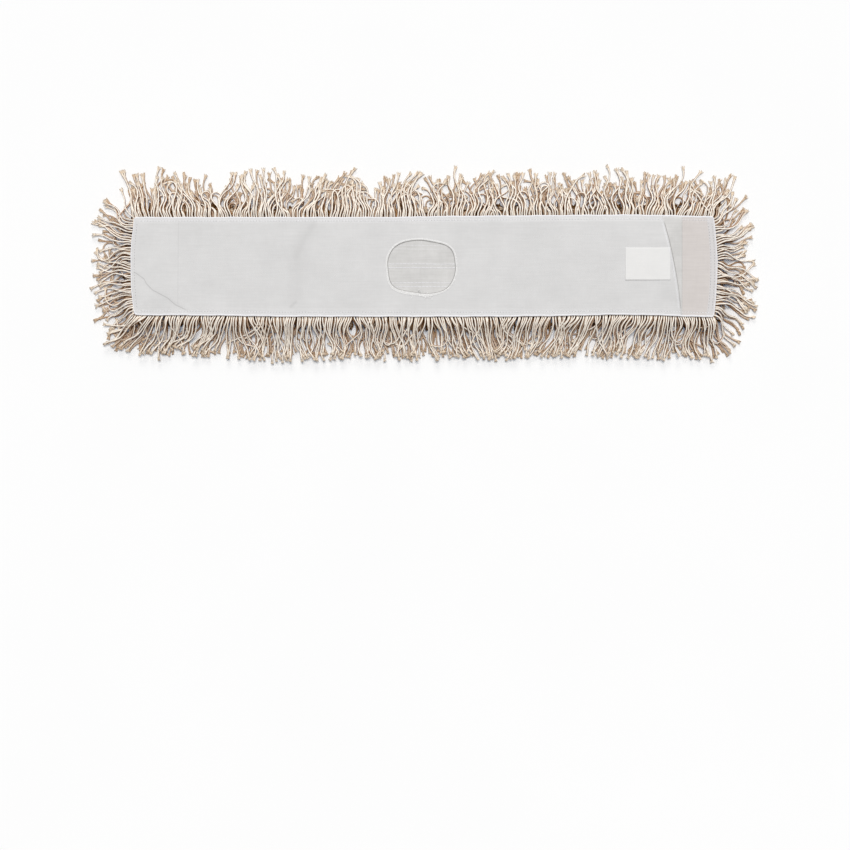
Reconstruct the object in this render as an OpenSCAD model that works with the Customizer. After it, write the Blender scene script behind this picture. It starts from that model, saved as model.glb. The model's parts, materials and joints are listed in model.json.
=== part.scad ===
// Cut-end cotton dust mop head: a cloth pocket that takes a flat frame, a pile of yarn rows sewn
// under it, and a yarn fringe round its edge. Millimetres, +Z up, length along X.
// The origin is on the floor under the middle of the backing, which lies with its pocket up.

/* [Backing] */
// Length of the backing over its edge binding
backing_len = 940; // [800:1:1100]
// Width of the backing over its edge binding
backing_w = 160; // [140:1:200]
// How far each short end bows out at its middle
end_bow = 6; // [2:0.5:9]
// Corner radius of the backing
corner_r = 9; // [5:0.5:14]
// Thickness of the base cloth, the pocket cloth and the end panel
cloth_t = 0.6; // [0.4:0.1:1]
// Distance from the edge to the inner side of the perimeter seam
seam_inset = 10; // [8:0.5:14]
// Width of the binding tape on each face of the edge
binding_w = 4; // [3:0.5:6]
// Thickness of the binding tape
binding_t = 0.6; // [0.4:0.1:1]

/* [Pocket] */
// Clear height between the base cloth and the end panel
pocket_clear = 5; // [4.5:0.1:9]
// Width over which the pocket cloth climbs from its seam
ramp_w = 6; // [4:0.5:10]
// Length of the handle opening
opening_len = 109; // [80:1:130]
// Width of the handle opening
opening_w = 89; // [60:1:100]
// Place of the handle opening's middle along the backing
opening_x = -4; // [-30:1:30]
// Width of the overlocked rim round the handle opening
overlock_w = 4; // [2:0.5:6]
// Thickness of the overlocked rim
overlock_t = 0.5; // [0.3:0.1:1]
// Length of the facing sewn inside the left end
left_facing_len = 60; // [30:1:90]

/* [Pocket mouth] */
// Distance from the right end to the middle of the mouth's free edge
mouth_inset = 70; // [60:1:90]
// How far the mouth's edge runs off square at each side of the backing
mouth_slant = 15.4; // [0:0.1:20]
// How far the mouth's edge bows out at its middle
mouth_bow = 3.9; // [0:0.1:8]
// Length of pocket cloth that lifts when the mouth is opened
flap_len = 112; // [90:1:150]
// Width of the folded hem along the mouth
hem_w = 6; // [4:0.5:10]
// Distance from the right end to the end panel's free edge, under the mouth
end_panel_len = 125; // [105:1:150]
// Width of the facing along the end panel's free edge
facing_w = 68; // [50:1:80]
// Thickness of the facings
facing_t = 0.5; // [0.3:0.1:0.8]

/* [Label] */
// Length of the blank care label, from its sewn edge
label_len = 72; // [40:1:90]
// Distance of the care label's sewn edge inside the middle of the mouth
label_inset = 6.5; // [6.5:0.5:20]
// Width of the care label along its sewn edge
label_w = 52; // [30:1:80]
// Thickness of the care label
label_t = 0.4; // [0.2:0.1:0.6]
// Place of the care label's middle across the backing
label_y = 3; // [-12:1:12]

/* [Yarn pile] */
// Height of the yarn pile under the base cloth
pile_h = 22; // [16:1:30]
// Bare margin between the outer yarn rows and the backing's edge
pile_margin = 5; // [4.5:0.5:10]
// Rounding of the yarn rows' lower edges
row_round = 8; // [4:0.5:12]
// Length of one tuft along a yarn row
tuft_len = 28; // [20:1:40]
// Depth of the dip between two tufts
tuft_dip = 4; // [1:0.5:4.5]
// Radius of the dip between two tufts
tuft_dip_r = 5; // [5:0.5:9]

/* [Fringe] */
// Reach of the longest side strands past the backing's edge
side_reach = 78; // [50:1:100]
// Reach of the longest end strands past the backing's edge
end_reach = 70; // [50:1:100]
// Spacing of the strands along the edge
strand_pitch = 9; // [8:0.5:14]
// Width of a strand at its root
strand_w = 6.5; // [3:0.5:7]
// Thickness of a strand
strand_t = 2.6; // [1.6:0.1:3]
// Difference between the longest and the shortest strands
strand_ragged = 14; // [4:1:20]
// Sideways lean of the strands' tips where they gather in locks
strand_lean = 5; // [0:0.5:5]
// Distance between two locks
lock_pitch = 66; // [60:1:100]
// Length of edge at each corner whose strands fan out
fan_len = 36; // [30:1:45]
// Half height of the square heading tape that the strands are sewn to
heading_half = 1.5; // [1:0.1:2]

/* [Stitching] */
// Length of one stitch
stitch_len = 8; // [4:0.5:10]
// Gap between two stitches
stitch_gap = 4; // [2:0.5:6]
// Width of the sewing thread
thread_w = 0.8; // [0.5:0.1:1.2]
// Height of the sewing thread over the cloth
thread_t = 0.4; // [0.2:0.1:0.6]
// Distance between the two thread lines that hold a yarn row
row_thread_gap = 6; // [4:0.5:9]

/* [Clearances] */
// Gap between cloth layers that move against each other
layer_gap = 0.2; // [0.1:0.05:0.4]
// Gap round the lifting flap of the mouth
flap_gap = 0.3; // [0.2:0.05:0.6]
// Gap between two yarn rows
row_gap = 0.6; // [0.4:0.1:1]
// Gap between the binding and the sweep of a fringe's heading tape
fold_gap = 0.2; // [0.1:0.05:0.3]

/* [Hidden] */
row_count = 5;

// Colours
white_cloth = [0.86, 0.86, 0.86];
natural_cloth = [0.84, 0.82, 0.80];
white_thread = [0.93, 0.93, 0.95];
label_white = [0.92, 0.92, 0.92];
natural_yarn = [0.80, 0.74, 0.68];
inner_yarn = [0.73, 0.65, 0.57];

// Counts of steps along curves, and shares that shape them
bow_steps = 12;
corner_steps = 4;
mouth_steps = 8;
opening_steps = 64;
round_sides = 48;
opening_power_share = 0.77;
strand_steps = 2;
drop_power = 1.5;
tip_width_share = 0.62;
tip_curl_share = 0.25;
side_seeds = [11, 23];
end_seeds = [37, 41];
fan_angle = 70;
least_corner_r = 2;
overrun = 1;

// Levels of the cloth layers
base_z = pile_h;
base_top = base_z + cloth_t;
panel_flange_top = base_top + cloth_t;
panel_z = base_top + pocket_clear;
facing_z = panel_z + cloth_t;
hem_z = facing_z + facing_t + layer_gap;
plate_z = hem_z + cloth_t;
plate_top = plate_z + cloth_t;
pocket_flange_top = panel_flange_top + cloth_t;
label_z = plate_top + thread_t + layer_gap;

// Places along and across the backing
half_len = backing_len / 2;
half_w = backing_w / 2;
plate_inset = seam_inset + ramp_w;
plate_half_w = half_w - plate_inset;
plate_half_len = half_len - plate_inset - end_bow;
mouth_mid = half_len - mouth_inset;
label_edge = mouth_mid - label_inset;
flap_x = mouth_mid - flap_len;
panel_edge_x = half_len - end_panel_len;
flap_half_w = plate_half_w - flap_gap;
seam_line_inset = (binding_w + seam_inset) / 2;
row_pitch = (backing_w - 2 * pile_margin) / row_count;
pile_half_len = half_len - end_bow - binding_w - row_gap;

// Fold line of a fringe: the heading tape turns clear of the binding
fold_off = heading_half * sqrt(2) + fold_gap;
fold_z = base_z - heading_half;

// The backing's outline, drawn in from its edge by an inset
function end_x(y, inset) = half_len - inset - end_bow * pow(y / (half_w - inset), 2);
function right_side(inset) =
    let (r = max(corner_r - inset, least_corner_r), y = half_w - inset - r, x = end_x(y, inset) - r)
    concat([for (i = [-corner_steps:0]) let (a = 90 * i / corner_steps) [x + r * cos(a), r * sin(a) - y]],
        [for (i = [1:bow_steps - 1]) let (b = y * (2 * i / bow_steps - 1)) [end_x(b, inset), b]],
        [for (i = [0:corner_steps]) let (a = 90 * i / corner_steps) [x + r * cos(a), y + r * sin(a)]]);
function outline(inset) =
    let (side = right_side(inset), last = len(side) - 1)
    concat(side, [for (i = [last:-1:0]) [-side[i][0], side[i][1]]]);

// The mouth's free edge
function mouth_edge(y) = mouth_mid - mouth_slant * y / half_w - mouth_bow * pow(y / half_w, 2);
function mouth_line(reach, back) =
    [for (i = [0:mouth_steps]) let (y = reach * (2 * i / mouth_steps - 1)) [mouth_edge(y) - back, y]];

// The handle opening, a rounded oval
function opening_points(grow) = [for (i = [0:opening_steps - 1]) let (a = 360 * i / opening_steps)
    [opening_x + (opening_len / 2 + grow) * sign(cos(a)) * pow(abs(cos(a)), opening_power_share),
     (opening_w / 2 + grow) * sign(sin(a)) * pow(abs(sin(a)), opening_power_share)]];

function raise(points, z) = [for (p = points) [p[0], p[1], z]];
function reversed(list) = [for (i = [len(list) - 1:-1:0]) list[i]];

module slab(points, z0, z1) { translate([0, 0, z0]) linear_extrude(z1 - z0) polygon(points); }

// One closed skin through rings of equally many points, with its first and last ring capped
module skin(rings) {
    n = len(rings[0]);
    last = len(rings) - 1;
    sides = [for (k = [0:last - 1], i = [0:n - 1]) let (a = k * n + i, b = k * n + (i + 1) % n)
        each [[a, a + n, b + n], [a, b + n, b]]];
    caps = [[for (i = [0:n - 1]) i], [for (i = [n - 1:-1:0]) last * n + i]];
    polyhedron([for (r = rings) each r], concat(sides, caps));
}

// A cloth that lies on its seam, climbs inside it and runs on flat
module pan(flange_z0, flange_z1, flat_z) {
    skin([raise(outline(plate_inset), flat_z), raise(outline(seam_inset), flange_z0),
        raise(outline(binding_t), flange_z0), raise(outline(binding_t), flange_z1),
        raise(outline(seam_inset), flange_z1), raise(outline(plate_inset), flat_z + cloth_t)]);
}

// All that lies under the end panel's upper face
module under_panel() {
    intersection() {
        skin([raise(outline(binding_t), base_top), raise(outline(binding_t), panel_flange_top),
            raise(outline(seam_inset), panel_flange_top), raise(outline(plate_inset), facing_z)]);
        beyond_panel_edge();
    }
}

module beyond_panel_edge() {
    translate([panel_edge_x, -half_w, 0]) cube([end_panel_len + overrun, backing_w, plate_top]);
}

module beyond_mouth() {
    far = half_len + overrun;
    slab(concat(mouth_line(half_w + overrun, 0), [[far, half_w + overrun], [far, -half_w - overrun]]),
        base_z, plate_top + overrun);
}

// One stitch, a short bar of thread lying along X
module stitch(length) { translate([-length / 2, -thread_w / 2, 0]) cube([length, thread_w, thread_t]); }

// Stitches along one long side; past the mouth they lie on the end panel
module side_stitching(side) {
    step = stitch_len + stitch_gap;
    run = backing_len - 2 * (end_bow + seam_inset + corner_r);
    count = floor(run / step);
    y = side * (half_w - seam_line_inset);
    for (i = [0:count - 1]) {
        x = (i - (count - 1) / 2) * step;
        z = x + stitch_len / 2 < mouth_edge(y) ? pocket_flange_top : panel_flange_top;
        if (abs(x - mouth_edge(y)) > stitch_len / 2) translate([x, y, z]) stitch(stitch_len);
    }
}

// Stitches along one short end, following its bow
module end_stitching(side, z) {
    step = stitch_len + stitch_gap;
    run = backing_w - 2 * (seam_inset + corner_r);
    count = floor(run / step);
    for (i = [0:count - 1]) {
        y = (i - (count - 1) / 2) * step;
        slope = 2 * end_bow * y / pow(half_w - seam_line_inset, 2);
        translate([side * end_x(y, seam_line_inset), y, z])
            rotate(90 + side * atan(slope)) stitch(stitch_len);
    }
}

// A fringe: strands standing out along +Y from a square heading tape that lies along X on the fold line.
// The strands lean into locks, and those near the tape's ends fan out.
module fringe(length, reach, fan, seed) {
    h = heading_half;
    n = floor(length / strand_pitch);
    pitch = length / n;
    noise = rands(0, 1, n, seed);
    curls = rands(0, 1, n, seed + n);
    shortest = min(noise);
    longest = max(noise);
    drop = fold_z - strand_t / 2;
    out = reach - fold_off - h;
    centres = [for (i = [0:n - 1]) (i - (n - 1) / 2) * pitch];
    roots = [for (c = centres) each [c - strand_w / 2, c + strand_w / 2]];
    stations = concat([-length / 2], roots, [length / 2]);
    m = len(stations);

    function turn(c) = fan * sign(c) * max(0, 1 - (length / 2 - abs(c)) / fan_len);
    function lean(c) = strand_lean * sin(360 * c / lock_pitch + seed) * (1 - pow(2 * c / length, 4));
    function ring(i, k) =
        let (c = centres[i], s = k / strand_steps, a = turn(c),
             w = strand_w * (1 - (1 - tip_width_share) * s) / 2,
             run = s * (out - strand_ragged * (longest - noise[i]) / (longest - shortest)),
             u = c + run * sin(a) + lean(c) * s * s, v = h + run * cos(a),
             z = -drop * pow(s, drop_power) * (1 - tip_curl_share * curls[i] * s), t = strand_t / 2)
        [[u - w * cos(a), v + w * sin(a), z - t], [u + w * cos(a), v - w * sin(a), z - t],
         [u + w * cos(a), v - w * sin(a), z + t], [u - w * cos(a), v + w * sin(a), z + t]];

    backs = concat([-length / 2], [for (i = [1:n - 1]) (centres[i - 1] + centres[i]) / 2], [length / 2]);
    points = concat([for (s = stations) [s, h, -h]], [for (s = stations) [s, h, h]],
        [for (b = backs) [b, -h, -h]], [for (b = backs) [b, -h, h]],
        [for (i = [0:n - 1], k = [1:strand_steps]) each ring(i, k)]);

    // Numbers of the points: lower and upper front edge, lower and upper back edge, strand rings
    function low(j) = j;
    function top(j) = m + j;
    function back_low(i) = 2 * m + i;
    function back_top(i) = 2 * m + n + 1 + i;
    function corner(i, k, c) = k == 0
        ? [low(2 * i + 1), low(2 * i + 2), top(2 * i + 2), top(2 * i + 1)][c]
        : 2 * m + 2 * (n + 1) + (i * strand_steps + k - 1) * 4 + c;

    cells = [for (i = [0:n - 1]) let (l = 2 * i + 1, r = 2 * i + 2)
        each [[back_top(i), top(l), top(r)], [back_top(i), top(r), back_top(i + 1)],
              [back_low(i), low(r), low(l)], [back_low(i), back_low(i + 1), low(r)],
              [back_low(i), back_top(i), back_top(i + 1)], [back_low(i), back_top(i + 1), back_low(i + 1)]]];
    gaps = [for (i = [0:n]) let (a = 2 * i, b = 2 * i + 1)
        each [[back_top(i), top(a), top(b)], [back_low(i), low(b), low(a)],
              [low(b), top(b), top(a)], [low(b), top(a), low(a)]]];
    ends = [[low(0), top(0), back_top(0)], [low(0), back_top(0), back_low(0)],
            [back_low(n), back_top(n), top(m - 1)], [back_low(n), top(m - 1), low(m - 1)]];
    strands = [for (i = [0:n - 1], k = [0:strand_steps - 1], c = [0:3]) let (d = (c + 1) % 4)
        each [[corner(i, k, d), corner(i, k + 1, d), corner(i, k + 1, c)],
              [corner(i, k, d), corner(i, k + 1, c), corner(i, k, c)]]];
    tips = [for (i = [0:n - 1]) let (k = strand_steps)
        each [[corner(i, k, 1), corner(i, k, 2), corner(i, k, 3)],
              [corner(i, k, 1), corner(i, k, 3), corner(i, k, 0)]]];
    polyhedron(points, concat(cells, gaps, ends, strands, tips));
}

module base_cloth() { color(natural_cloth) slab(outline(binding_t), base_z, base_top); }

// The pocket cloth ends at the mouth, and its middle there is the lifting flap
module pocket_cloth() {
    color(white_cloth) difference() {
        pan(base_top, pocket_flange_top, plate_z);
        under_panel();
        slab(opening_points(0), base_top, plate_top + overrun);
        beyond_mouth();
        translate([flap_x, -plate_half_w, plate_z - overrun])
            cube([half_len - flap_x, 2 * plate_half_w, cloth_t + 2 * overrun]);
    }
}

module end_panel() {
    color(natural_cloth) intersection() {
        pan(base_top, panel_flange_top, panel_z);
        beyond_panel_edge();
    }
}

module end_panel_facing() {
    color(white_cloth) translate([panel_edge_x, -flap_half_w, facing_z])
        cube([facing_w, 2 * flap_half_w, facing_t]);
}

module left_end_facing() {
    color(white_cloth) translate([-plate_half_len, -flap_half_w, plate_z - facing_t])
        cube([left_facing_len, 2 * flap_half_w, facing_t]);
}

// A folded tape round the edge, open inwards to hold the cloths
module edge_binding() {
    color(white_thread) difference() {
        slab(outline(0), base_z - binding_t, pocket_flange_top + binding_t);
        slab(outline(binding_w), base_z - binding_t - overrun, pocket_flange_top + binding_t + overrun);
        slab(outline(binding_t), base_z, pocket_flange_top);
    }
}

module opening_overlock() {
    color(white_thread) difference() {
        slab(opening_points(overlock_w), plate_top, plate_top + overlock_t);
        slab(opening_points(0), plate_top - overrun, plate_top + overlock_t + overrun);
    }
}

module seam_stitching_front() { color(white_thread) side_stitching(-1); }

module seam_stitching_back() { color(white_thread) side_stitching(1); }

module seam_stitching_left() { color(white_thread) end_stitching(-1, pocket_flange_top); }

module seam_stitching_right() { color(white_thread) end_stitching(1, panel_flange_top); }

function row_y(i) = (i - (row_count + 1) / 2) * row_pitch;

// A row of cut yarn tufts with flat soles
module yarn_row(i) {
    w = row_pitch - row_gap;
    tufts = floor(2 * pile_half_len / tuft_len);
    step = 2 * pile_half_len / tufts;
    color(inner_yarn) translate([0, row_y(i), 0]) difference() {
        translate([-pile_half_len, 0, 0]) rotate([90, 0, 90]) linear_extrude(2 * pile_half_len) {
            translate([row_round - w / 2, 0]) square([w - 2 * row_round, pile_h]);
            translate([-w / 2, row_round]) square([w, pile_h - row_round]);
            for (side = [-1, 1])
                translate([side * (w / 2 - row_round), row_round]) circle(row_round, $fn = round_sides);
        }
        for (k = [1:tufts - 1]) translate([k * step - pile_half_len, 0, tuft_dip - tuft_dip_r])
            rotate([90, 0, 0]) cylinder(h = row_pitch, r = tuft_dip_r, center = true, $fn = round_sides);
    }
}

// Two thread lines that hold a yarn row to the base cloth
module row_stitching(i) {
    color(white_thread) for (side = [-1, 1])
        translate([0, row_y(i) + side * row_thread_gap / 2, base_top]) stitch(2 * plate_half_len);
}

module mouth_flap() {
    start = flap_x + flap_gap;
    color(white_cloth)
        slab(concat([[start, -flap_half_w]], mouth_line(flap_half_w, 0), [[start, flap_half_w]]),
            plate_z, plate_top);
}

module mouth_hem() {
    color(white_cloth) slab(concat(mouth_line(flap_half_w, 0), reversed(mouth_line(flap_half_w, hem_w))),
        hem_z, plate_z);
}

module mouth_hem_stitching() {
    step = stitch_len + stitch_gap;
    count = floor(2 * flap_half_w / step);
    color(white_thread) for (i = [0:count - 1]) {
        y = (i - (count - 1) / 2) * step;
        slope = (mouth_slant + 2 * mouth_bow * y / half_w) / half_w;
        translate([mouth_edge(y) - hem_w / 2, y, plate_top]) rotate(90 + atan(slope)) stitch(stitch_len);
    }
}

// A blank label, sewn along its right edge beside the mouth and lying back over the flap
module care_label() {
    y0 = label_y - label_w / 2;
    y1 = label_y + label_w / 2;
    left = label_edge - label_len;
    color(label_white)
        slab([[left, y0], [label_edge, y0], [label_edge, y1], [left, y1]], label_z, label_z + label_t);
}

module fringe_front() {
    color(natural_yarn) translate([0, -half_w - fold_off, fold_z]) rotate(180)
        fringe(backing_len - 2 * corner_r, side_reach, 0, side_seeds[0]);
}

module fringe_back() {
    color(natural_yarn) translate([0, half_w + fold_off, fold_z])
        fringe(backing_len - 2 * corner_r, side_reach, 0, side_seeds[1]);
}

module fringe_left() {
    color(natural_yarn) translate([-half_len - fold_off, 0, fold_z]) rotate(90)
        fringe(backing_w - strand_w, end_reach, fan_angle, end_seeds[0]);
}

module fringe_right() {
    color(natural_yarn) translate([half_len + fold_off, 0, fold_z]) rotate(-90)
        fringe(backing_w - strand_w, end_reach, fan_angle, end_seeds[1]);
}

base_cloth();
pocket_cloth();
end_panel();
end_panel_facing();
left_end_facing();
edge_binding();
opening_overlock();
seam_stitching_front();
seam_stitching_back();
seam_stitching_left();
seam_stitching_right();
for (i = [1:row_count]) {
    yarn_row(i);
    row_stitching(i);
}
mouth_flap();
mouth_hem();
mouth_hem_stitching();
care_label();
fringe_front();
fringe_back();
fringe_left();
fringe_right();
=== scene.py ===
"""Dresses the dust mop head: sewn cloths, stitching, a blank label and cut cotton yarn."""

import json
import math

import bpy
import numpy as np
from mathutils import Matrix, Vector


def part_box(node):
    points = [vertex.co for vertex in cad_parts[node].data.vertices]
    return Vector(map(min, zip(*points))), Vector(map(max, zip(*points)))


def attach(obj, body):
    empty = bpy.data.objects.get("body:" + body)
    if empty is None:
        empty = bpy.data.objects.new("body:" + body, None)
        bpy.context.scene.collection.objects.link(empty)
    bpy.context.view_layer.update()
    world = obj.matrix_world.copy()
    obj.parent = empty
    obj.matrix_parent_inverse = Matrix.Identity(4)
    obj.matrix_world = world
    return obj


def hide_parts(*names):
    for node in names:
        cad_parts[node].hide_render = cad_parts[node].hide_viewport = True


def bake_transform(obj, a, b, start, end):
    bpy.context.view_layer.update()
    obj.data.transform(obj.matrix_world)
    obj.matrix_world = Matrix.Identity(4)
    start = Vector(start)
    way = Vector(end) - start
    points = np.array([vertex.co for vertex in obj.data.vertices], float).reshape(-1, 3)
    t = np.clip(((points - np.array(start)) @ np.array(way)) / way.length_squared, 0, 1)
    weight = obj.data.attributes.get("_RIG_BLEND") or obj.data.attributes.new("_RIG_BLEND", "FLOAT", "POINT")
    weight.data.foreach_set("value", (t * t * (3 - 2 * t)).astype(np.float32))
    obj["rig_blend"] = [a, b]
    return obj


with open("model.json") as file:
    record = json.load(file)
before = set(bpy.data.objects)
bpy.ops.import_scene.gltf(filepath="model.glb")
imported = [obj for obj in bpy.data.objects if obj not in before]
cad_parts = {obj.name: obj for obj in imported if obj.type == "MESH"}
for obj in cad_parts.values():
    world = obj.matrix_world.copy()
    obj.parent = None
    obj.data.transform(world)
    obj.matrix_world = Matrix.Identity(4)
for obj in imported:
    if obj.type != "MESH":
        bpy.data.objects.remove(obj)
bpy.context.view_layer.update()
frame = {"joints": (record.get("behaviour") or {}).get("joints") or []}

MM = 0.001


def low(node):
    return np.array(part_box(node)[0])


def high(node):
    return np.array(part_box(node)[1])


def joint(name):
    return next(j for j in frame["joints"] if j["name"] == name)


def smooth(t):
    t = np.clip(t, 0.0, 1.0)
    return t * t * (3 - 2 * t)


def joined(parts):
    """Joins meshes given as (points, faces, uv per face) into one, with uv kept in face order."""
    points, faces, uvs, start = [], [], [], 0
    for p, f, uv in parts:
        points.append(p)
        faces += [q + start for q in f]
        uvs += uv
        start += len(p)
    return np.concatenate(points), faces, uvs


# Sizes, read from the frame

half_len, half_w = high("edge_binding")[:2]
edge_z0 = low("edge_binding")[2]
base_z, base_top = low("base_cloth")[2], high("base_cloth")[2]
plate_top = high("pocket_cloth")[2]
panel_edge_x, facing_edge_x = low("end_panel_facing")[0], high("end_panel_facing")[0]
opening_low, opening_high = low("opening_overlock"), high("opening_overlock")
flap_x = joint("mouth_lift")["pos_m"][0]
row_lines = [(low(f"row_stitching_{i}") + high(f"row_stitching_{i}"))[1] / 2 for i in range(1, 6)]
row_line_gap = high("row_stitching_1")[1] - low("row_stitching_1")[1]

# Sizes of the sewing. The corners are a little tighter than the solid's

END_BOW = 6 * MM
CORNER_R = 4.5 * MM
SEAM_INSET = 10 * MM
STITCH_INSET = 0.7 * SEAM_INSET
BINDING_R = 1.5 * MM
OVERLOCK_W = 4 * MM
HEM_W = 6 * MM
MOUTH_MID = half_len - 70 * MM
MOUTH_SLANT = 15.4 * MM
MOUTH_BOW = 3.9 * MM
CLOTH_T = 0.6 * MM
FACING_T = 0.4 * MM
LABEL_T = 0.35 * MM
LEFT_FACING_X = -392.5 * MM
ROW_THREAD_SHARE = 0.88

opening_x, opening_y = ((opening_low + opening_high) / 2)[:2] - (0, 1 * MM)
opening_a = (opening_high[0] - opening_low[0]) / 2 - OVERLOCK_W
opening_b = (opening_high[1] - opening_low[1]) / 2 - OVERLOCK_W
row_thread_off = row_line_gap / 2 * ROW_THREAD_SHARE


def end_x(y, inset=0.0):
    """How far the backing's outline reaches along X at y, with its bow and its round corners."""
    y = np.abs(y)
    w, r = half_w - inset, max(CORNER_R - inset, 2 * MM)
    bow = half_len - inset - END_BOW * (y / w) ** 2
    past = np.clip(y - (w - r), 0, r)
    return bow - (r - np.sqrt(np.maximum(r * r - past * past, 0)))


def mouth_x(y):
    return MOUTH_MID - MOUTH_SLANT * y / half_w - MOUTH_BOW * (y / half_w) ** 2


def outline(inset, step=4 * MM):
    """Points round the backing, evenly spaced, with their outward normals."""
    w = half_w - inset
    y = np.sin(np.linspace(-math.pi / 2, math.pi / 2, 160)) * w
    right = np.stack([end_x(y, inset), y], 1)
    ring = np.concatenate([right, right[::-1] * (-1, 1)])
    ring = np.concatenate([ring, ring[:1]])
    along = np.concatenate([[0], np.cumsum(np.linalg.norm(np.diff(ring, axis=0), axis=1))])
    t = np.linspace(0, along[-1], int(along[-1] / step), endpoint=False)
    points = np.stack([np.interp(t, along, ring[:, k]) for k in (0, 1)], 1)
    ahead = np.roll(points, -1, 0) - np.roll(points, 1, 0)
    ahead /= np.linalg.norm(ahead, axis=1)[:, None]
    return points, np.stack([ahead[:, 1], -ahead[:, 0]], 1)


# The oval's mean radius, and waves round it: how many, and their cosine and sine shares
OPENING_SHARE = 1.030
OPENING_WAVE_SHARES = ((1, 0.001, -0.008), (2, 0.025, -0.007), (4, -0.045, 0.014),
                       (5, 0.002, 0.005), (6, -0.006, -0.009), (8, 0.006, -0.005))


def opening_edge(angle, grow=0.0):
    """A point of the hand-cut oval, which is fuller at its upper right and lower left."""
    waves = (c * np.cos(k * angle) + s * np.sin(k * angle) for k, c, s in OPENING_WAVE_SHARES)
    r = OPENING_SHARE + sum(waves)
    x = opening_x + (opening_a + grow) * r * np.cos(angle)
    return np.stack([x, opening_y + (opening_b + grow) * r * np.sin(angle)], -1)


# Materials


def new_material(name):
    material = bpy.data.materials.new(name)
    material.use_nodes = True
    return material, material.node_tree, material.node_tree.nodes["Principled BSDF"]


def add(tree, kind, inputs=None, **settings):
    """A shader node with its settings, and its inputs set to values or linked to sockets."""
    node = tree.nodes.new(kind)
    for key, value in settings.items():
        setattr(node, key, value)
    for key, value in (inputs or {}).items():
        if isinstance(value, bpy.types.NodeSocket):
            tree.links.new(value, node.inputs[key])
        else:
            node.inputs[key].default_value = value
    return node


def math_node(tree, operation, a, b=0.0, c=0.0):
    return add(tree, "ShaderNodeMath", {0: a, 1: b, 2: c}, operation=operation).outputs[0]


def ramp(tree, fac, stops):
    """A colour ramp through (place, colour) stops."""
    node = add(tree, "ShaderNodeValToRGB", {"Fac": fac})
    elements = node.color_ramp.elements
    while len(elements) < len(stops):
        elements.new(1.0)
    for element, (place, colour) in zip(elements, stops):
        element.position = place
        element.color = (*colour, 1.0)
    return node.outputs["Color"]


def mixed(tree, share, colour, over):
    """A colour with a share of another one, given as three numbers."""
    return add(tree, "ShaderNodeMix", {0: share, 6: colour, 7: (*over, 1.0)}, data_type="RGBA").outputs[2]


def mapped(tree, value, begin, end, first=0.0, last=1.0, **settings):
    """A value's run from begin to end, turned into a run from first to last."""
    inputs = {0: value, 1: begin, 2: end, 3: first, 4: last}
    return add(tree, "ShaderNodeMapRange", inputs, **settings).outputs[0]


def clamped(tree, value, highest=1.0):
    return add(tree, "ShaderNodeClamp", {0: value, 1: 0.0, 2: highest}).outputs[0]


def vector_node(tree, operation, a, b):
    return add(tree, "ShaderNodeVectorMath", {0: a, 1: b}, operation=operation).outputs[0]


def noise(tree, vector, scale, detail=3.0, rough=0.55):
    inputs = {"Vector": vector, "Scale": scale, "Detail": detail, "Roughness": rough}
    return add(tree, "ShaderNodeTexNoise", inputs).outputs["Fac"]


def surface(tree, bsdf, colour, relief, strength, depth, roughness, shine):
    """Gives a surface its colour, a bump of some depth, and its shine."""
    tree.links.new(colour, bsdf.inputs["Base Color"])
    bump = add(tree, "ShaderNodeBump", {"Strength": strength, "Distance": depth, "Height": relief})
    tree.links.new(bump.outputs[0], bsdf.inputs["Normal"])
    bsdf.inputs["Roughness"].default_value = roughness
    bsdf.inputs["Specular IOR Level"].default_value = shine


def seen_directly(tree):
    """1 for rays that show a surface or the sky itself, 0 for those that light something else."""
    rays = add(tree, "ShaderNodeLightPath")
    seen = math_node(tree, "MAXIMUM", rays.outputs["Is Camera Ray"], rays.outputs["Is Glossy Ray"])
    return math_node(tree, "MAXIMUM", seen, rays.outputs["Is Transmission Ray"])


def line_mask(tree, place, points, width):
    """1 along a line through points in plan, falling to 0 at width away from it."""
    nearest = None
    for a, b in zip(points[:-1], points[1:]):
        reach = np.subtract(b, a)
        length = float(np.linalg.norm(reach))
        way = (*(reach / length), 0.0)
        off = vector_node(tree, "SUBTRACT", place, (*a, 0.0))
        t = add(tree, "ShaderNodeVectorMath", {0: off, 1: way}, operation="DOT_PRODUCT").outputs["Value"]
        t = clamped(tree, t, length)
        foot = add(tree, "ShaderNodeVectorMath", {0: way, "Scale": t}, operation="SCALE").outputs[0]
        gap = vector_node(tree, "SUBTRACT", off, foot)
        flat = vector_node(tree, "MULTIPLY", gap, (1.0, 1.0, 0.0))
        d = add(tree, "ShaderNodeVectorMath", {0: flat}, operation="LENGTH").outputs["Value"]
        nearest = d if nearest is None else math_node(tree, "MINIMUM", nearest, d)
    return mapped(tree, nearest, 0.0, width, 1.0, 0.0, interpolation_type="SMOOTHSTEP")


# The first colour paints shade along creases and folds, the second paints highlight along each hem
SHADE, PAINTED_HIGHLIGHT = (0.10, 0.095, 0.09), (0.92, 0.92, 0.94)
BAND_BLUR = 0.7 * MM


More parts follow.
